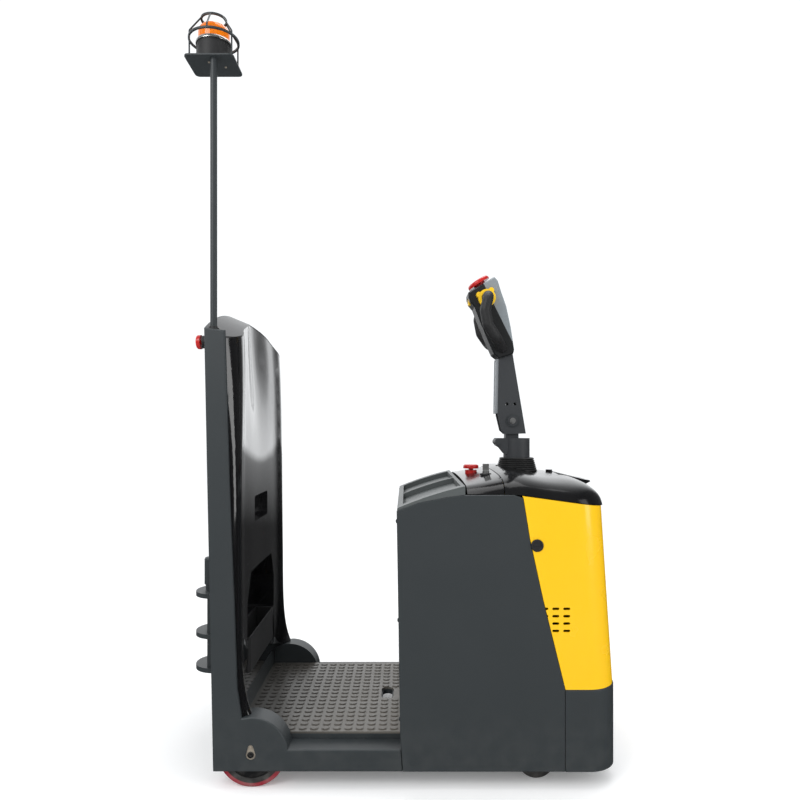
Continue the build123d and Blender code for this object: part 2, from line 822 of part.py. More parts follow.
def steering_boot():
    """Ribbed rubber sleeve: stacked rings that grow smaller towards the top."""
    pitch = (boot_head_z - boot_foot_z) / boot_ribs
    pts = [(boot_bore_r, boot_foot_z)]
    for i in range(boot_ribs):
        z = boot_foot_z + i * pitch
        r = boot_foot_r + (boot_head_r - boot_foot_r) * i / (boot_ribs - 1)
        pts += [(r - boot_rib_depth, z), (r, z + pitch * 0.3), (r, z + pitch * 0.7), (r - boot_rib_depth, z + pitch)]
    pts.append((boot_bore_r, boot_head_z))
    clean = []
    for p in pts:
        if not clean or hypot(p[0] - clean[-1][0], p[1] - clean[-1][1]) > 0.3:
            clean.append(p)
    face = make_face(Polyline([(r, 0, z) for r, z in clean], close=True).edges())
    return Pos(steer_x, 0, 0) * revolve(face, Axis.Z)


def tiller_casting():
    z0 = boot_head_z + bearing_gap
    body = rod_z(steer_x, 0, casting_r, z0, casting_top_z)
    top = casting_top_z
    x = casting_nose_x
    nose = [(x, top), (x, top - 24), (x + 14, top - 32), (x + 30, top - 52), (steer_x, top - 54), (steer_x, top)]
    body += slab(nose, -30, 30)
    body += rod_y(x + 6, top - 12, 11, -33, 33)
    body += box(tiller_x - lug_r, tiller_x + lug_r, -lug_half, lug_half, casting_top_z, tiller_z)
    body += rod_y(tiller_x, tiller_z, lug_r, -lug_half, lug_half)
    reach = lug_half + arm_gap + arm_wall
    body += rod_y(tiller_x, tiller_z, tiller_pin_r, -reach - bearing_gap, reach + bearing_gap)
    for side in (-1, 1):
        y0, y1 = sorted((side * (reach + bearing_gap), side * (reach + bearing_gap + pin_head_t)))
        body += rod_y(tiller_x, tiller_z, pin_head_r, y0, y1)
    return body


arm_outline = [(448.0, 1024.0), (403.5, 1292.0), (357.0, 1277.0), (353.5, 1086.0), (366.0, 1034.0), (379.0, 1022.0)]
head_front = [(403.5, 1292.0), (407.0, 1306.0), (395.6, 1381.5), (380.5, 1452.0), (363.0, 1502.0), (352.0, 1538.0)]
head_rear = [
    (340.0, 1552.0),
    (252.0, 1499.0),
    (253.0, 1484.0),
    (260.0, 1465.0),
    (273.0, 1450.0),
    (292.0, 1400.0),
    (316.0, 1342.0),
    (338.0, 1292.0),
    (357.0, 1277.0),
]


button_place = Pos(head_button_x, 0, head_button_z) * Rot(0, -head_button_lean, 0)


def tiller_arm():
    inside = lug_half + arm_gap
    body = slab(arm_outline, -inside - arm_wall, inside + arm_wall)
    slot = [(300, 900), (421, 900), (434, 1060), (398, 1250), (300, 1250)]
    body -= slab(slot, -inside, inside)
    body += slab([(357, 1120), (357, 1277), (364, 1277), (364, 1120)], -inside - 1, inside + 1)
    body -= rod_y(tiller_x, tiller_z, tiller_pin_r + running_gap, -100, 100)
    for x in (tiller_x - 19, tiller_x + 8):
        body -= rod_y(x, tiller_z + 57, arm_hole_r, -100, 100)
    return body


def tiller_head():
    body = slab(head_front + head_rear, -head_half, head_half)
    body = fillet(body.edges().filter_by(Axis.Y), 5)
    sides = body.faces().filter_by(Axis.Y)
    body = chamfer(sides.edges(), 4)
    stem_r = head_button_r * 0.5
    body -= button_place * Pos(0, 0, -head_button_travel) * Cylinder(stem_r + 0.5, head_button_h)
    body -= button_place * Pos(0, 0, 40) * Cylinder(stem_r + 0.5, 80)
    c = bearing_gap
    deep = rocker_x + rocker_depth + rocker_travel + c
    body -= box(rocker_x - 20, deep, -rocker_half - c, rocker_half + c, rocker_z - c, rocker_z + rocker_h + c)
    return body


def tiller_grip():
    """Closed loop beside the head, drawn for the left side."""
    y = head_half + grip_reach
    pts = [
        (switch_x, head_half - 6, switch_z),
        (switch_x, y, switch_z),
        (switch_x - 12, y, switch_z - 50),
        (switch_x - 3, y, switch_z - 98),
        (switch_x + 23, y - 6, switch_z - 137),
        (switch_x + 53, head_half - 6, switch_z - 168),
    ]
    path = FilletPolyline(*pts, radius=24)
    tube = sweep(Plane(origin=pts[0], z_dir=(0, 1, 0)) * Circle(grip_r), path=path)
    return tube - box(200, 500, -head_half, head_half, 1200, 1700)


def butterfly():
    """Rotary travel switch round the root of a grip, with two thumb wings."""
    face = Circle(switch_r)
    for angle in (switch_lean - 49, switch_lean + 49):
        a = radians(angle)
        face += Pos(switch_r * cos(a), switch_r * sin(a)) * Circle(switch_wing_r)
    face -= Circle(grip_r + 0.5)
    plane = Plane(origin=(switch_x, head_half + bearing_gap, switch_z), x_dir=(1, 0, 0), z_dir=(0, -1, 0))
    return extrude(plane * face, switch_t, dir=(0, 1, 0))


def head_button():
    stem = Cylinder(head_button_r * 0.5, head_button_h)
    z = head_button_h / 2
    cap = Pos(0, 0, z + head_button_cap_t / 2) * Cylinder(head_button_r, head_button_cap_t)
    cap = fillet(cap.faces().sort_by(Axis.Z)[-1].edges(), 9)
    return button_place * (stem + cap)


def caster_fork():
    z1 = caster_plate_z - bearing_gap
    body = rod_z(caster_x, caster_y, 34, z1 - 10, z1)
    ax = caster_x - caster_trail
    half = caster_wheel_gap / 2 - 1.5
    body += box(ax - 12, caster_x + 12, caster_y - half, caster_y + half, caster_r - 12, z1 - 8)
    reach = caster_wheel_gap / 2 + caster_wheel_width
    body += rod_y(ax, caster_r, caster_axle_r, caster_y - reach, caster_y + reach)
    return body


def caster_wheels():
    ax = caster_x - caster_trail
    wheels = []
    for side in (-1, 1):
        y0 = caster_y + side * caster_wheel_gap / 2
        y1 = y0 + side * caster_wheel_width
        y0, y1 = sorted((y0, y1))
        w = rod_y(ax, caster_r, caster_r, y0, y1)
        w = fillet(w.edges().filter_by(GeomType.CIRCLE), 5)
        w -= rod_y(ax, caster_r, caster_axle_r + running_gap, y0 - 1, y1 + 1)
        wheels.append(w)
    return Compound(children=wheels)


def beacon_mast():
    y = -half_width + mast_inset
    return rod_z(mast_x, y, mast_r, mast_foot_z, beacon_plate_z)


def beacon_plate():
    lx, ly = beacon_plate_size
    y0, y1 = beacon_y - ly / 2, beacon_y + ly / 2
    body = box(beacon_x - lx / 2, beacon_x + lx / 2, y0, y1, beacon_plate_z, beacon_seat_z)
    return fillet(body.edges().filter_by(Axis.Z), 14)


def beacon_base():
    z0 = beacon_plate_z + beacon_plate_t
    return rod_z(beacon_x, beacon_y, beacon_base_r, z0, z0 + beacon_base_h)


def beacon_lens():
    z0 = beacon_plate_z + beacon_plate_t + beacon_base_h
    body = rod_z(beacon_x, beacon_y, lens_r, z0, z0 + lens_h)
    return fillet(body.faces().sort_by(Axis.Z)[-1].edges(), 24)


def guard_ring(r, z):
    half = guard_band / 2
    ring = rod_z(beacon_x, beacon_y, r + half, z - half, z + half)
    return ring - rod_z(beacon_x, beacon_y, r - half, z - half - 1, z + half + 1)


def beacon_guard():
    body = guard_ring(guard_top_r, guard_top_z) + guard_ring(guard_mid_r, guard_mid_z)
    z0 = beacon_seat_z
    bend_z = guard_mid_z + guard_bend_rise
    for i in range(6):
        a = radians(60 * i + 30)
        far = (beacon_x + guard_mid_r * cos(a), beacon_y + guard_mid_r * sin(a))
        near = (beacon_x + guard_top_r * cos(a), beacon_y + guard_top_r * sin(a))
        low = z0 if i in (0, 2, 3, 5) else guard_mid_z
        path = FilletPolyline((*far, low), (*far, bend_z), (*near, guard_top_z), radius=12)
        body += sweep(Plane(origin=(*far, low), z_dir=(0, 0, 1)) * Circle(guard_rod_r), path=path)
    return body


def stop_collar(r):
    return Cylinder(r, button_collar_h) - Cylinder(button_stem_r + running_gap, button_collar_h + 2)


def stop_button(r):
    """Mushroom head on a stem, with its travel left clear above the collar."""
    z = button_collar_h / 2
    body = Pos(0, 0, 0) * Cylinder(button_stem_r, button_collar_h)
    cap = Pos(0, 0, z + button_travel + 1 + button_cap_h / 2) * Cylinder(r, button_cap_h)
    cap = fillet(cap.faces().sort_by(Axis.Z)[-1].edges(), 6)
    neck = Pos(0, 0, z + (button_travel + 1) / 2) * Cylinder(button_stem_r, button_travel + 1)
    return body + neck + cap


console_stop_spot = Pos(265.0, 0.0, 893.0)
rear_stop_z = 1296.0
column_lean = degrees(atan2(column_foot_x - column_head_x, column_head_z - ground_gap))
rear_stop_face = Pos(column_rear_x(rear_stop_z), -320.0, rear_stop_z) * Rot(0, -90 - column_lean, 0)
rear_stop_spot = rear_stop_face * Pos(0, 0, button_collar_h / 2)
key_spot = Pos(298.0, -150.0, 898.0)
key_r = 11.0
key_h = 16.0


def key_barrel():
    return key_spot * Cylinder(key_r, key_h)


def key():
    z = key_h / 2 + bearing_gap
    return key_spot * Pos(0, 0, z + 11) * Box(20, 3, 22)


def rocker():
    return box(rocker_x, rocker_x + rocker_depth, -rocker_half, rocker_half, rocker_z, rocker_z + rocker_h)


def build():
    plate = side_plate()
    save(plate, "side_plate_left")
    save(mirrored(plate), "side_plate_right")
    arch = wheel_box()
    save(arch, "wheel_box_left")
    save(mirrored(arch), "wheel_box_right")
    save(platform_plate(), "platform_plate")
    save(platform_mat(), "platform_mat")
    save(kick_plate(), "kick_plate")
    save(rear_panel(), "rear_panel")
    shell = backrest_shell()
    save(shell, "backrest_shell")
    save(top_cap(), "top_cap")
    save(storage_bin(), "storage_bin")
    save(hitch_bracket(), "hitch_bracket")
    save(hitch_pin(), "hitch_pin")
    tread, hub = rear_wheel_parts()
    save(tread, "rear_tread_left")
    save(hub, "rear_hub_left")
    save(mirrored(tread), "rear_tread_right")
    save(mirrored(hub), "rear_hub_right")
    axle = rear_axle()
    save(Compound(children=[axle, mirrored(axle)]), "rear_axles")
    keep = axle_keeper()
    save(Compound(children=[keep, mirrored(keep)]), "axle_keepers")
    side = power_side()
    save(side, "power_side_left")
    save(mirrored(side), "power_side_right")
    save(operator_wall(), "operator_wall")
    save(bumper_skirt(), "bumper_skirt")
    save(front_cover(), "front_cover")
    save(console_cover(), "console_cover")
    save(hood_cover(), "hood_cover")
    save(battery_lid(), "battery_lid")
    save(battery(), "battery")
    save(frame(), "frame")
    save(drive_unit(), "drive_unit")
    save(steering_column(), "steering_column")
    tread, hub = drive_wheel_parts()
    save(tread, "drive_tread")
    save(hub, "drive_hub")
    save(steering_boot(), "steering_boot")
    save(tiller_casting(), "tiller_casting")
    save(tiller_arm(), "tiller_arm")
    save(tiller_head(), "tiller_head")
    grip = tiller_grip()
    save(Compound(children=[grip, mirrored(grip)]), "tiller_grips")
    wing = butterfly()
    save(Compound(children=[wing, mirrored(wing)]), "drive_switch")
    save(head_button(), "head_button")
    fork = caster_fork()
    save(fork, "caster_fork_left")
    save(mirrored(fork), "caster_fork_right")
    wheels = caster_wheels()
    save(wheels, "caster_wheels_left")
    save(mirrored(wheels), "caster_wheels_right")
    save(beacon_mast(), "beacon_mast")
    save(beacon_plate(), "beacon_plate")
    save(beacon_base(), "beacon_base")
    save(beacon_lens(), "beacon_lens")
    save(beacon_guard(), "beacon_guard")
    save(console_stop_spot * stop_button(console_button_r), "console_stop_button")
    save(console_stop_spot * stop_collar(console_button_r - 6), "console_stop_collar")
    save(rear_stop_spot * stop_button(rear_button_r), "rear_stop_button")
    save(rear_stop_spot * stop_collar(rear_button_r - 2), "rear_stop_collar")
    save(key_barrel(), "key_barrel")
    save(key(), "key")
    save(rocker(), "rocker")


build()
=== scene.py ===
import bpy
import json
from math import cos, pi, radians, sin
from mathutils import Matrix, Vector


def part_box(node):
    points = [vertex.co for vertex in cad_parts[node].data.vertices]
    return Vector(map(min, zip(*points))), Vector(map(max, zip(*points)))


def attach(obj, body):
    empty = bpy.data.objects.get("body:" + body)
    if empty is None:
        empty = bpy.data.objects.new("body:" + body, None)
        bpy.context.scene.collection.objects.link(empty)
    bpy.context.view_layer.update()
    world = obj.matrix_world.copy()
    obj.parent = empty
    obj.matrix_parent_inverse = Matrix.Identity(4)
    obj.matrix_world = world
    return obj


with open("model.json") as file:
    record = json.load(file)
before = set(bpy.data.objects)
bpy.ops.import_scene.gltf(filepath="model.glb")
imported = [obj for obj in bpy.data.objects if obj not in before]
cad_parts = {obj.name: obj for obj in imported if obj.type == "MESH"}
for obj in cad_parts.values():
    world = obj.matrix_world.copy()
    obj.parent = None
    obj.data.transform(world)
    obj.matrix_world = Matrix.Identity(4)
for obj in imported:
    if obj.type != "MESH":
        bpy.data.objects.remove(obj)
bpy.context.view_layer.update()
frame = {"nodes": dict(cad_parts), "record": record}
bpy.ops.object.select_all(action="DESELECT")
MM = 0.001
COAT_ROUGHNESS = 0.05
SMOOTH_ANGLE = radians(35)
HOOD_IOR = 1.32

# Turns that point a fastener's Z out of a face
FACING_RIGHT = (radians(90), 0.0, 0.0)
FACING_LEFT = (radians(-90), 0.0, 0.0)
FACING_DOWN = (pi, 0.0, 0.0)

# Where a finish changes over a piece, in metres
# The first pair spans the mat's painted sheen along X: dark towards the backrest, pale towards the power unit
SHEEN_START, SHEEN_FULL = -0.42, 0.02
SEAM_AXIS, SEAM_START, SEAM_END = (0.896, 0.0, 0.443), 0.9487, 0.9499
SEAM_FOOT, SEAM_FOOT_END = 1.3340, 1.3352

# Sizes in mm, as in the CAD
STUD_RADIUS, STUD_PITCH_X, STUD_PITCH_Y, STUD_ROWS = 12.5, 34.4, 29.8, 19
FOOT_HOLE_X, FOOT_HOLE_WIDTH, FOOT_HOLE_LENGTH = -20, 33, 90
MAST_X, MAST_Y = -521, -325
PIVOT_X, PIVOT_Y, PIVOT_Z = 403, 35, 1067
LOCK_X, LOCK_Y, LOCK_Z = 421, 360, 704.5
KEY_X, KEY_Y = 298, -150
STRIP_SIZE, STRIP_PLACE, STRIP_LEAN = (11, 46, 184), (351.5, 0, 1184), (0, 1.0, 0)
BEHIND_X, BEFORE_WALL_X = -1200, -200
PANEL_SCREW_Y, PANEL_SCREW_HEIGHTS = 318, (250, 500, 750, 1000, 1220)
HITCH_BOLT_Y, HITCH_BOLT_HEIGHTS = 28, (294, 417)
WALL_SCREW_Y, WALL_SCREW_HEIGHTS = 325, (190, 480, 770)
HUB_BOLTS, HUB_BOLT_CIRCLE = 6, 44
FLAT_TO_CORNER = 1.732


# Shader groups
def new_group(name, inputs, outputs):
    group = bpy.data.node_groups.new(name, "ShaderNodeTree")
    for label, kind, value in inputs:
        socket = group.interface.new_socket(label, in_out="INPUT", socket_type=kind)
        if value is not None:
            socket.default_value = value
    for label, kind in outputs:
        group.interface.new_socket(label, in_out="OUTPUT", socket_type=kind)
    return group, group.nodes.new("NodeGroupInput"), group.nodes.new("NodeGroupOutput")


def math_node(tree, operation, a, b, clamp=False):
    node = tree.nodes.new("ShaderNodeMath")
    node.operation = operation
    node.use_clamp = clamp
    for socket, value in zip(node.inputs, (a, b)):
        if isinstance(value, (int, float)):
            socket.default_value = value
        else:
            tree.links.new(value, socket)
    return node.outputs[0]


def map_range(tree, value, low, high, out_low, out_high):
    node = tree.nodes.new("ShaderNodeMapRange")
    tree.links.new(value, node.inputs["Value"])
    for label, v in (("From Min", low), ("From Max", high), ("To Min", out_low), ("To Max", out_high)):
        if isinstance(v, (int, float)):
            node.inputs[label].default_value = v
        else:
            tree.links.new(v, node.inputs[label])
    return node.outputs["Result"]


def noise(tree, vector, scale, detail=3.0):
    node = tree.nodes.new("ShaderNodeTexNoise")
    tree.links.new(vector, node.inputs["Vector"])
    if isinstance(scale, (int, float)):
        node.inputs["Scale"].default_value = scale
    else:
        tree.links.new(scale, node.inputs["Scale"])
    node.inputs["Detail"].default_value = detail
    return node.outputs["Fac"]


def build_grain():
    """Fine surface grain, and slow changes of colour and shine over a panel."""
    group, gin, gout = new_group(
        "Moulded Grain",
        [
            ("Vector", "NodeSocketVector", None),
            ("Colour", "NodeSocketColor", (0.5, 0.5, 0.5, 1)),
            ("Grain Scale", "NodeSocketFloat", 900.0),
            ("Patch Scale", "NodeSocketFloat", 6.0),
            ("Colour Spread", "NodeSocketFloat", 0.1),
            ("Roughness", "NodeSocketFloat", 0.4),
            ("Roughness Spread", "NodeSocketFloat", 0.08),
        ],
        [("Colour", "NodeSocketColor"), ("Roughness", "NodeSocketFloat"), ("Height", "NodeSocketFloat")],
    )
    fine = noise(group, gin.outputs["Vector"], gin.outputs["Grain Scale"], 2.0)
    patch = noise(group, gin.outputs["Vector"], gin.outputs["Patch Scale"], 4.0)
    swing = math_node(group, "SUBTRACT", patch, 0.5)
    lift = math_node(group, "MULTIPLY", swing, gin.outputs["Colour Spread"])
    speck = math_node(group, "SUBTRACT", fine, 0.5)
    speck = math_node(group, "MULTIPLY", speck, gin.outputs["Colour Spread"])
    gain = math_node(group, "ADD", math_node(group, "ADD", lift, speck), 1.0)
    scale = group.nodes.new("ShaderNodeVectorMath")
    scale.operation = "SCALE"
    group.links.new(gin.outputs["Colour"], scale.inputs[0])
    group.links.new(gain, scale.inputs["Scale"])
    group.links.new(scale.outputs[0], gout.inputs["Colour"])
    rough = math_node(group, "MULTIPLY", swing, gin.outputs["Roughness Spread"])
    rough = math_node(group, "MULTIPLY", rough, 2.0)
    rough = math_node(group, "ADD", rough, gin.outputs["Roughness"], True)
    group.links.new(rough, gout.inputs["Roughness"])
    group.links.new(fine, gout.inputs["Height"])
    return group


def build_dust():
    """Dust and scuffs that gather low down on the machine."""
    group, gin, gout = new_group(
        "Floor Dust",
        [
            ("Vector", "NodeSocketVector", None),
            ("Colour", "NodeSocketColor", (0.5, 0.5, 0.5, 1)),
            ("Dust Colour", "NodeSocketColor", (0.23, 0.22, 0.2, 1)),
            ("Top Height", "NodeSocketFloat", 0.25),
            ("Amount", "NodeSocketFloat", 0.25),
        ],
        [("Colour", "NodeSocketColor"), ("Mask", "NodeSocketFloat")],
    )
    split = group.nodes.new("ShaderNodeSeparateXYZ")
    group.links.new(gin.outputs["Vector"], split.inputs[0])
    low = map_range(group, split.outputs["Z"], 0.0, gin.outputs["Top Height"], 1.0, 0.0)
    cloud = map_range(group, noise(group, gin.outputs["Vector"], 26.0, 6.0), 0.38, 0.72, 0.0, 1.0)
    mask = math_node(group, "MULTIPLY", math_node(group, "MULTIPLY", low, cloud), gin.outputs["Amount"], True)
    mix = group.nodes.new("ShaderNodeMix")
    mix.data_type = "RGBA"
    group.links.new(mask, mix.inputs["Factor"])
    group.links.new(gin.outputs["Colour"], mix.inputs["A"])
    group.links.new(gin.outputs["Dust Colour"], mix.inputs["B"])
    group.links.new(mix.outputs["Result"], gout.inputs["Colour"])
    group.links.new(mask, gout.inputs["Mask"])
    return group


grain_group = build_grain()
dust_group = build_dust()


def finish_of(name, colour, rough, spread, grain, bump, metal=0.0, coat=0.0, dust=0.0, patch=6.0,
              colour_spread=0.12):
    """A finish with fine grain and slow changes over the panel; dust gathers low down where it is asked for."""
    mat = bpy.data.materials.new(name)
    mat.use_nodes = True
    tree = mat.node_tree
    shader = tree.nodes["Principled BSDF"]
    place = tree.nodes.new("ShaderNodeTexCoord").outputs["Object"]
    grain_node = tree.nodes.new("ShaderNodeGroup")
    grain_node.node_tree = grain_group
    tree.links.new(place, grain_node.inputs["Vector"])
    grain_node.inputs["Colour"].default_value = (*colour, 1)
    grain_node.inputs["Grain Scale"].default_value = grain
    grain_node.inputs["Patch Scale"].default_value = patch
    grain_node.inputs["Colour Spread"].default_value = colour_spread
    grain_node.inputs["Roughness"].default_value = rough
    grain_node.inputs["Roughness Spread"].default_value = spread
    colour_out = grain_node.outputs["Colour"]
    if dust:
        dust_node = tree.nodes.new("ShaderNodeGroup")
        dust_node.node_tree = dust_group
        tree.links.new(place, dust_node.inputs["Vector"])
        tree.links.new(colour_out, dust_node.inputs["Colour"])
        dust_node.inputs["Amount"].default_value = dust
        colour_out = dust_node.outputs["Colour"]
    tree.links.new(colour_out, shader.inputs["Base Color"])
    tree.links.new(grain_node.outputs["Roughness"], shader.inputs["Roughness"])
    shader.inputs["Metallic"].default_value = metal
    shader.inputs["Coat Weight"].default_value = coat
    shader.inputs["Coat Roughness"].default_value = COAT_ROUGHNESS
    relief = tree.nodes.new("ShaderNodeBump")
    relief.inputs["Strength"].default_value = bump
    relief.inputs["Distance"].default_value = 0.001
    tree.links.new(grain_node.outputs["Height"], relief.inputs["Height"])
    tree.links.new(relief.outputs["Normal"], shader.inputs["Normal"])
    return mat


def amber_glass():
    mat = finish_of("amber_lens", (0.80, 0.20, 0.005), 0.08, 0.03, 300, 0.02, colour_spread=0.06)
    shader = mat.node_tree.nodes["Principled BSDF"]
    shader.inputs["Transmission Weight"].default_value = 0.35
    shader.inputs["Emission Color"].default_value = (0.9, 0.22, 0.005, 1)
    shader.inputs["Emission Strength"].default_value = 0.12
    return mat


FINISH = {
    "dark_coat": finish_of("charcoal_powder_coat", (0.031, 0.037, 0.040), 0.44, 0.05, 1400, 0.12, dust=0.08,
                           colour_spread=0.08),
    "gloss_black": finish_of("gloss_black_shell", (0.006, 0.006, 0.0065), 0.10, 0.03, 260, 0.008, coat=0.6),
    "hood_gloss": finish_of("black_hood_plastic", (0.007, 0.007, 0.0075), 0.16, 0.04, 500, 0.03),
    "cap_satin": finish_of("satin_black_cap", (0.008, 0.008, 0.009), 0.32, 0.06, 900, 0.06),
    "matte_black": finish_of("matt_black_plastic", (0.018, 0.018, 0.019), 0.55, 0.08, 1500, 0.18),
    "yellow_cover": finish_of("yellow_cover_gloss", (0.82, 0.475, 0.002), 0.26, 0.05, 420, 0.02, coat=0.3,
                              colour_spread=0.05),
    "red_plastic": finish_of("red_button_plastic", (0.47, 0.012, 0.010), 0.28, 0.05, 800, 0.03, coat=0.2),
    "yellow_plastic": finish_of("yellow_switch_plastic", (0.90, 0.55, 0.006), 0.35, 0.06, 900, 0.06),
    "tread": finish_of("crimson_polyurethane", (0.27, 0.006, 0.020), 0.38, 0.1, 500, 0.05, dust=0.5),
    "zinc": finish_of("bronze_zinc_plate", (0.50, 0.44, 0.36), 0.36, 0.1, 700, 0.05, metal=0.45),
    "steel": finish_of("machined_steel", (0.58, 0.58, 0.57), 0.28, 0.08, 1200, 0.04, metal=1.0),
    "cast": finish_of("painted_casting", (0.035, 0.038, 0.042), 0.5, 0.1, 420, 0.35),
    "mat": finish_of("studded_rubber_mat", (0.135, 0.127, 0.113), 0.36, 0.12, 700, 0.12, patch=9,
                     colour_spread=0.3),
    "boot": finish_of("boot_rubber", (0.012, 0.012, 0.012), 0.52, 0.1, 900, 0.1),
    "amber": amber_glass(),
    "lid_grey": finish_of("dark_grey_lid_plastic", (0.078, 0.087, 0.087), 0.42, 0.06, 1300, 0.12),
    "grey_plastic": finish_of("light_grey_plastic", (0.25, 0.265, 0.28), 0.42, 0.06, 1300, 0.12),
    "hub_black": finish_of("hub_black_plastic", (0.012, 0.012, 0.013), 0.45, 0.08, 800, 0.08, dust=0.35),
}


def sheen_painted_mat():
    """Painted sheen on the mat: its colour runs from dark towards the backrest to pale towards the power unit,
    which stands in for the light the mat reflects.
    """
    mat = FINISH["mat"]
    tree = mat.node_tree
    grain_node = next(n for n in tree.nodes if n.type == "GROUP")
    split = tree.nodes.new("ShaderNodeSeparateXYZ")
    tree.links.new(next(n for n in tree.nodes if n.type == "TEX_COORD").outputs["Object"], split.inputs[0])
    mix = tree.nodes.new("ShaderNodeMix")
    mix.data_type = "RGBA"
    # The mat's dark colour towards the backrest, and a pale painted sheen colour towards the power unit
    mix.inputs["A"].default_value = (0.045, 0.043, 0.039, 1)
    mix.inputs["B"].default_value = (0.165, 0.150, 0.130, 1)
    tree.links.new(map_range(tree, split.outputs["X"], SHEEN_START, SHEEN_FULL, 0.0, 1.0), mix.inputs["Factor"])
    tree.links.new(mix.outputs["Result"], grain_node.inputs["Colour"])


def two_tone():
    """The tiller head: a grey front shell and a black rear half that meet at a dark seam."""
    mat = FINISH["grey_plastic"].copy()
    mat.name = "two_tone_head"
    tree = mat.node_tree
    grain_node = next(n for n in tree.nodes if n.type == "GROUP")
    place = next(n for n in tree.nodes if n.type == "TEX_COORD").outputs["Object"]
    across = tree.nodes.new("ShaderNodeVectorMath")
    across.operation = "DOT_PRODUCT"
    across.inputs[1].default_value = SEAM_AXIS
    tree.links.new(place, across.inputs[0])
    front = map_range(tree, across.outputs["Value"], SEAM_START, SEAM_END, 0.0, 1.0)
    split = tree.nodes.new("ShaderNodeSeparateXYZ")
    tree.links.new(place, split.inputs[0])
    high = map_range(tree, split.outputs["Z"], SEAM_FOOT, SEAM_FOOT_END, 0.0, 1.0)
    mask = math_node(tree, "MULTIPLY", front, high, True)
    mix = tree.nodes.new("ShaderNodeMix")
    mix.data_type = "RGBA"
    mix.inputs["A"].default_value = (0.012, 0.013, 0.014, 1)
    mix.inputs["B"].default_value = (0.22, 0.245, 0.262, 1)
    tree.links.new(mask, mix.inputs["Factor"])
    tree.links.new(mix.outputs["Result"], grain_node.inputs["Colour"])
    return mat


FINISH["hood_gloss"].node_tree.nodes["Principled BSDF"].inputs["IOR"].default_value = HOOD_IOR
sheen_painted_mat()
special = {"tiller_head": two_tone(), "hood_cover": FINISH["hood_gloss"], "console_cover": FINISH["hood_gloss"],
           "top_cap": FINISH["cap_satin"]}
slots = {row["node"]: row["material_slot"] for row in frame["record"]["subparts"]}
for node_name, node_object in frame["nodes"].items():
    node_object.data.materials.clear()
    node_object.data.materials.append(special.get(node_name, FINISH[slots[node_name]]))


# Modelling steps
def deselect():
    if bpy.context.object and bpy.context.object.mode != "OBJECT":
        bpy.ops.object.mode_set(mode="OBJECT")
    bpy.ops.object.select_all(action="DESELECT")


def pick(piece, test):
    """Opens the piece for editing with the faces selected whose centre and normal pass the test."""
    bpy.ops.object.mode_set(mode="EDIT")
    bpy.ops.mesh.select_mode(type="FACE")
    bpy.ops.mesh.select_all(action="DESELECT")
    bpy.ops.object.mode_set(mode="OBJECT")
    for face in piece.data.polygons:
        face.select = test(face.center, face.normal)
    bpy.ops.object.mode_set(mode="EDIT")


def pick_top(piece):
    top = max(face.center.z for face in piece.data.polygons)
    pick(piece, lambda centre, normal: normal.z > 0.9 and centre.z > top - 1e-5)


def step_top(piece, inset, rise):
    """Insets the top face and moves it up or down, which leaves a dome, a rim or a recess."""
    pick_top(piece)
    bpy.ops.mesh.inset(thickness=inset * MM)
    up = piece.matrix_world.to_3x3() @ Vector((0, 0, rise * MM))
    bpy.ops.mesh.extrude_region_move(TRANSFORM_OT_translate={"value": up})
    bpy.ops.object.mode_set(mode="OBJECT")


def disc(name, radius, depth, place=(0, 0, 0), sides=32):
    deselect()
    bpy.ops.mesh.primitive_cylinder_add(vertices=sides, radius=radius * MM, depth=depth * MM,
                                        location=[v * MM for v in place])
    bpy.context.object.name = name
    return bpy.context.object


def bar(name, size, place=(0, 0, 0), turn=(0, 0, 0)):
    deselect()
    bpy.ops.mesh.primitive_cube_add(size=1, location=[v * MM for v in place],
                                    rotation=[radians(v) for v in turn])
    piece = bpy.context.object
    piece.name = name
    piece.scale = [v * MM for v in size]
    bpy.ops.object.transform_apply(location=False, rotation=False, scale=True)
    return piece


def round_edges(piece, width, segments=2):
    bpy.context.view_layer.objects.active = piece
    bend = piece.modifiers.new("rounding", "BEVEL")
    bend.width = width * MM
    bend.segments = segments
    bend.limit_method = "ANGLE"
    bpy.ops.object.modifier_apply(modifier=bend.name)


def spread(piece, spots):
    """Copies the piece to each (place, turn), each copy with its own mesh, and joins them."""
    copies = []
    for place, turn in spots:
        deselect()
        piece.select_set(True)
        bpy.context.view_layer.objects.active = piece
        bpy.ops.object.duplicate(linked=False)
        copy = bpy.context.object
        copy.location = [v * MM for v in place]
        copy.rotation_euler = turn if isinstance(turn, tuple) else turn.to_euler()
        copies.append(copy)
    name = piece.name
    bpy.data.objects.remove(piece, do_unlink=True)
    for copy in copies:
        copy.select_set(True)
    bpy.ops.object.join()
    bpy.context.object.name = name
    return bpy.context.object


def dress(piece, body, slot):
    """Settles the piece's place into its mesh, gives it its finish and fixes it to its body."""
    deselect()
    piece.select_set(True)
    bpy.context.view_layer.objects.active = piece
    bpy.ops.object.transform_apply(location=True, rotation=True, scale=True)
    piece.data.materials.clear()
    piece.data.materials.append(FINISH[slot])
    bpy.ops.object.shade_smooth_by_angle(angle=SMOOTH_ANGLE)
    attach(piece, body)
    return piece


def seat(node, origin, direction):
    """Where a line meets a CAD node, in mm, and the turn that points a piece's Z out of that face."""
    body = frame["nodes"][node]
    into = body.matrix_world.inverted()
    hit, place, normal, _ = body.ray_cast(into @ (Vector(origin) * MM), into.to_3x3() @ Vector(direction))
    if not hit:
        raise RuntimeError(f"nothing of {node} at {origin}")
    if normal.dot(Vector(direction)) > 0:
        normal = -normal
    return tuple(body.matrix_world @ place / MM), normal.to_track_quat("Z", "Y")


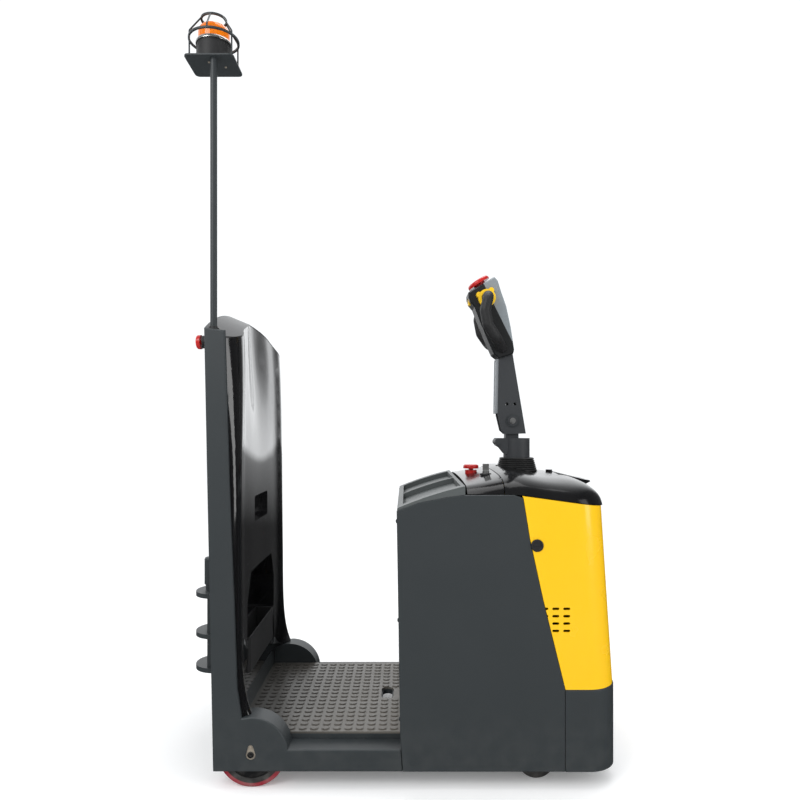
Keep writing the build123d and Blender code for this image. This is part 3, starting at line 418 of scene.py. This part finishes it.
# Fasteners
def hex_bolt(name, across, height, washer):
    """A chamfered hexagon head on its washer, standing on Z = 0."""
    head = disc(name, across / FLAT_TO_CORNER, height, (0, 0, height / 2 + 1.5), sides=6)
    step_top(head, across * 0.08, height * 0.12)
    step_top(head, across * 0.2, -height * 0.08)
    ring = disc("washer", washer, 1.6, (0, 0, 0.8), sides=28)
    step_top(ring, washer * 0.1, 0.3)
    head.select_set(True)
    bpy.context.view_layer.objects.active = head
    bpy.ops.object.join()
    bpy.ops.object.transform_apply(location=True, rotation=True, scale=True)
    return bpy.context.object


def socket_screw(name, radius, height):
    """A domed screw with a driving socket, standing on Z = 0."""
    screw = disc(name, radius, height * 0.5, (0, 0, height * 0.25), sides=24)
    step_top(screw, radius * 0.16, height * 0.3)
    step_top(screw, radius * 0.22, height * 0.2)
    step_top(screw, radius * 0.1, -height * 0.5)
    bpy.ops.object.transform_apply(location=True, rotation=True, scale=True)
    return screw


# Platform
def mat_studs():
    low, high = [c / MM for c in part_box("platform_mat")]
    columns = int((high.x - low.x - 30) // STUD_PITCH_X) + 1
    start = (high.x - 19, -STUD_PITCH_Y * (STUD_ROWS - 1) / 2, high.z + 0.3)
    stud = disc("mat_studs", STUD_RADIUS, 3, start, sides=12)
    step_top(stud, 2.2, 1.0)
    for count, shift in ((columns, (-STUD_PITCH_X, 0)), (STUD_ROWS, (0, STUD_PITCH_Y))):
        row = stud.modifiers.new("row", "ARRAY")
        row.count = count
        row.use_relative_offset = False
        row.use_constant_offset = True
        row.constant_offset_displace = (shift[0] * MM, shift[1] * MM, 0)
        bpy.ops.object.modifier_apply(modifier=row.name)

    def over_hole(centre, normal):
        world = stud.matrix_world @ centre / MM
        x = start[0] - round((start[0] - world.x) / STUD_PITCH_X) * STUD_PITCH_X
        y = start[1] + round((world.y - start[1]) / STUD_PITCH_Y) * STUD_PITCH_Y
        return abs(x - FOOT_HOLE_X) < FOOT_HOLE_WIDTH / 2 + 10 and abs(y) < FOOT_HOLE_LENGTH / 2 + 10

    pick(stud, over_hole)
    bpy.ops.mesh.delete(type="FACE")
    bpy.ops.object.mode_set(mode="OBJECT")
    dress(stud, "chassis", "mat")


def kick_plate_edge():
    low, high = [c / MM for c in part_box("kick_plate")]
    middle = (low + high) / 2
    edge = bar("kick_plate_edge", (6, high.y - low.y - 2, 3), (high.x - 2.5, middle.y, high.z + 0.5))
    round_edges(edge, 1.2, 2)
    dress(edge, "chassis", "steel")


def keeper_bolts():
    low, high = [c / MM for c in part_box("axle_keepers")]
    x = (low.x + high.x) / 2
    screw = socket_screw("keeper_bolts", 5.2, 4)
    cap = disc("axle_caps", 9.5, 3, (0, 0, 1.5), sides=28)
    step_top(cap, 2.2, 0.8)
    step_top(cap, 4.2, -1.0)
    bpy.ops.object.transform_apply(location=True, rotation=True, scale=True)
    upper, lower = high.z - 8, low.z + 14.5
    screws = [((x, low.y, upper), FACING_RIGHT), ((x, high.y, upper), FACING_LEFT)]
    caps = [((x, low.y, lower), FACING_RIGHT), ((x, high.y, lower), FACING_LEFT)]
    dress(spread(screw, screws), "chassis", "zinc")
    dress(spread(cap, caps), "chassis", "steel")


# Column
def mast_grommet():
    place, _ = seat("top_cap", (MAST_X + 21, MAST_Y, 1600), (0, 0, -1))
    collar = disc("mast_grommet", 18, 8, (MAST_X, MAST_Y, place[2] - 1))
    step_top(collar, 2, 3)
    step_top(collar, 4, 5)
    round_edges(collar, 0.8)
    dress(collar, "chassis", "matte_black")


def rear_screws():
    spots = [seat("rear_panel", (BEHIND_X, y, z), (1, 0, 0))
             for z in PANEL_SCREW_HEIGHTS for y in (-PANEL_SCREW_Y, PANEL_SCREW_Y)]
    dress(spread(socket_screw("rear_panel_screws", 7, 4), spots), "chassis", "dark_coat")
    spots = [seat("hitch_bracket", (BEHIND_X, y, z), (1, 0, 0))
             for z in HITCH_BOLT_HEIGHTS for y in (-HITCH_BOLT_Y, HITCH_BOLT_Y)]
    dress(spread(hex_bolt("hitch_bolts", 17, 9, 13), spots), "chassis", "zinc")


def wall_screws():
    spots = [seat("operator_wall", (BEFORE_WALL_X, y, z), (1, 0, 0))
             for z in WALL_SCREW_HEIGHTS for y in (-WALL_SCREW_Y, WALL_SCREW_Y)]
    dress(spread(socket_screw("operator_wall_screws", 6, 3.5), spots), "chassis", "dark_coat")


# Beacon
def beacon_flange():
    low, high = [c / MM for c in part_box("beacon_base")]
    x, y, z = (low.x + high.x) / 2, (low.y + high.y) / 2, high.z
    flange = disc("beacon_flange", 53, 7, (x, y, z - 4), sides=56)
    step_top(flange, 2, 3)
    step_top(flange, 3.5, 2)
    round_edges(flange, 0.9)
    dress(flange, "chassis", "steel")
    under = low.z - 4
    offsets = ((-14, 26), (-8, -22), (34, 6))
    screws = [((x + along, y + across, under), FACING_DOWN) for along, across in offsets]
    dress(spread(socket_screw("beacon_plate_screws", 3.2, 2.5), screws), "chassis", "zinc")


# Tiller
def pivot_bolts():
    spots = [((PIVOT_X, -PIVOT_Y, PIVOT_Z), FACING_RIGHT), ((PIVOT_X, PIVOT_Y, PIVOT_Z), FACING_LEFT)]
    bolt = hex_bolt("tiller_pivot_bolts", 13, 5, 10)
    dress(spread(bolt, spots), "tiller", "steel")
    ring = disc("tiller_pivot_bosses", 22, 3, (0, 0, -4))
    step_top(ring, 2.2, 1)
    step_top(ring, 2.6, -1.6)
    bpy.ops.object.transform_apply(location=True, rotation=True, scale=True)
    dress(spread(ring, spots), "tiller", "dark_coat")


def arm_strip():
    strip = bar("tiller_arm_strip", STRIP_SIZE, STRIP_PLACE, STRIP_LEAN)
    pick(strip, lambda centre, normal: normal.x < -0.9)
    bpy.ops.mesh.inset(thickness=5 * MM)
    bpy.ops.mesh.extrude_region_move(TRANSFORM_OT_translate={"value": (2.5 * MM, 0, 0)})
    bpy.ops.object.mode_set(mode="OBJECT")
    round_edges(strip, 1.6, 3)
    dress(strip, "tiller", "grey_plastic")


# Power unit
def side_locks():
    lock = disc("side_locks", 18, 7, (0, 0, 0), sides=40)
    step_top(lock, 1.2, 1)
    step_top(lock, 4.5, -1.6)
    slot = bar("turn_slot", (18, 4, 3), (0, 0, 2.6))
    round_edges(slot, 0.8)
    lock.select_set(True)
    bpy.context.view_layer.objects.active = lock
    bpy.ops.object.join()
    round_edges(lock, 0.5, 1)
    spots = [((LOCK_X, -LOCK_Y, LOCK_Z), FACING_RIGHT), ((LOCK_X, LOCK_Y, LOCK_Z), FACING_LEFT)]
    dress(spread(lock, spots), "chassis", "matte_black")


def key_bezel():
    place, _ = seat("console_cover", (KEY_X, KEY_Y + 18, 1100), (0, 0, -1))
    bezel = disc("key_bezel", 19, 5, (KEY_X, KEY_Y, place[2]), sides=40)
    step_top(bezel, 1.5, 1.2)
    step_top(bezel, 4.5, -1.5)
    round_edges(bezel, 0.5)
    dress(bezel, "chassis", "matte_black")


# Running gear
def caster_nuts():
    for side in ("left", "right"):
        low, high = [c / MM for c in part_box("caster_wheels_" + side)]
        x, z = (low.x + high.x) / 2, (low.z + high.z) / 2
        spots = [((x, low.y, z), FACING_RIGHT), ((x, high.y, z), FACING_LEFT)]
        dress(spread(hex_bolt("caster_nuts_" + side, 13, 5, 11), spots), "caster_" + side, "zinc")


def hub_bolts():
    """Bolts on the inner face of each rear hub."""
    for side in ("left", "right"):
        low, high = [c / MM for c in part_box("rear_hub_" + side)]
        x, z = (low.x + high.x) / 2, (low.z + high.z) / 2
        inner, turn = (low.y, FACING_RIGHT) if side == "left" else (high.y, FACING_LEFT)
        around = [k * 2 * pi / HUB_BOLTS for k in range(HUB_BOLTS)]
        spots = [((x + HUB_BOLT_CIRCLE * cos(a), inner, z + HUB_BOLT_CIRCLE * sin(a)), turn) for a in around]
        dress(spread(hex_bolt("rear_hub_bolts_" + side, 8, 4, 6), spots), "rear_wheel_" + side, "zinc")


for make in (caster_nuts, hub_bolts, mat_studs, kick_plate_edge, keeper_bolts, mast_grommet, rear_screws,
             wall_screws, beacon_flange, pivot_bolts, arm_strip, side_locks, key_bezel):
    make()


# Studio
FLOOR_SIZE, FLOOR_GLOW = 40, 0.15
PLAIN_LEVEL, CAMERA_LIFT, GLOSS_LEVEL = 0.97, 0.12, 1.3


def studio():
    deselect()
    bpy.ops.mesh.primitive_plane_add(size=FLOOR_SIZE, location=(0, 4.0, 0))
    floor = bpy.context.object
    floor.name = "studio_floor"
    bpy.ops.object.mode_set(mode="EDIT")
    bpy.ops.mesh.subdivide(number_cuts=3)
    bpy.ops.object.mode_set(mode="OBJECT")
    bpy.ops.object.transform_apply(location=True)
    paper = finish_of("studio_paper", (0.93, 0.93, 0.93), 0.9, 0.02, 60, 0.0, colour_spread=0.01)
    floor.data.materials.append(paper)
    shader = paper.node_tree.nodes["Principled BSDF"]
    shader.inputs["Emission Color"].default_value = (1, 1, 1, 1)
    shader.inputs["Emission Strength"].default_value = FLOOR_GLOW
    floor.visible_glossy = False


def soft_light(name, place, target, size, power):
    light = bpy.data.lights.new(name, "AREA")
    light.shape = "RECTANGLE"
    light.size, light.size_y = size
    light.energy = power
    lamp = bpy.data.objects.new(name, light)
    bpy.context.collection.objects.link(lamp)
    lamp.location = place
    lamp.rotation_euler = (Vector(target) - Vector(place)).to_track_quat("-Z", "Y").to_euler()


def camera():
    cam = bpy.data.cameras.new("photo_camera")
    cam.lens = 29.84
    cam.sensor_width = 36.0
    cam.shift_x = -0.0075
    cam.shift_y = 0.03375
    cam.clip_start = 0.05
    eye = bpy.data.objects.new("photo_camera", cam)
    eye.location = (0.043, -2.270, 1.046)
    eye.rotation_euler = (radians(90), 0, 0)
    bpy.context.collection.objects.link(eye)
    bpy.context.scene.camera = eye


def studio_sky():
    """What the gloss reflects: bright walls beyond the machine, dark below the horizon and behind the camera.

    Every other ray sees plain white, and the camera a little brighter one, so that the backdrop stays white.
    """
    world = bpy.data.worlds.new("studio_world")
    world.use_nodes = True
    tree = world.node_tree
    split = tree.nodes.new("ShaderNodeSeparateXYZ")
    tree.links.new(tree.nodes.new("ShaderNodeTexCoord").outputs["Generated"], split.inputs[0])
    height = map_range(tree, split.outputs["Z"], -0.25, 0.25, 0.0, 1.0)
    ramp = tree.nodes.new("ShaderNodeValToRGB")
    tree.links.new(height, ramp.inputs["Fac"])
    stops = ramp.color_ramp.elements
    stops[0].position, stops[0].color = 0.22, (0.03, 0.03, 0.03, 1)
    stops[1].position, stops[1].color = 0.45, (1, 1, 1, 1)
    low_grey = stops.new(0.42)
    low_grey.color = (0.27, 0.27, 0.26, 1)
    away = map_range(tree, split.outputs["Y"], -0.35, 0.35, 0.22, 1.0)
    side = map_range(tree, split.outputs["X"], 0.36, 0.62, 1.0, 0.10)
    level = math_node(tree, "MULTIPLY", math_node(tree, "MULTIPLY", ramp.outputs["Color"], away), side)
    level = math_node(tree, "MULTIPLY", level, GLOSS_LEVEL)
    ray = tree.nodes.new("ShaderNodeLightPath").outputs
    level = math_node(tree, "MULTIPLY", level, ray["Is Glossy Ray"])
    plain = math_node(tree, "MULTIPLY", math_node(tree, "SUBTRACT", 1.0, ray["Is Glossy Ray"]), PLAIN_LEVEL)
    level = math_node(tree, "ADD", level, plain)
    level = math_node(tree, "ADD", level, math_node(tree, "MULTIPLY", ray["Is Camera Ray"], CAMERA_LIFT))
    background = tree.nodes["Background"]
    tree.links.new(level, background.inputs["Strength"])
    background.inputs["Color"].default_value = (0.97, 0.985, 1.0, 1)
    bpy.context.scene.world = world


studio()
camera()
studio_sky()
bpy.context.scene.view_settings.view_transform = "Standard"
soft_light("key_window", (-2.6, -3.4, 3.4), (0, 0, 0.8), (2.2, 2.2), 75)
soft_light("fill_panel", (3.4, -2.4, 1.6), (0.2, 0, 0.7), (1.2, 2.6), 30)
soft_light("top_panel", (0.4, 0.2, 4.2), (0, 0, 0.5), (2.6, 2.0), 45)
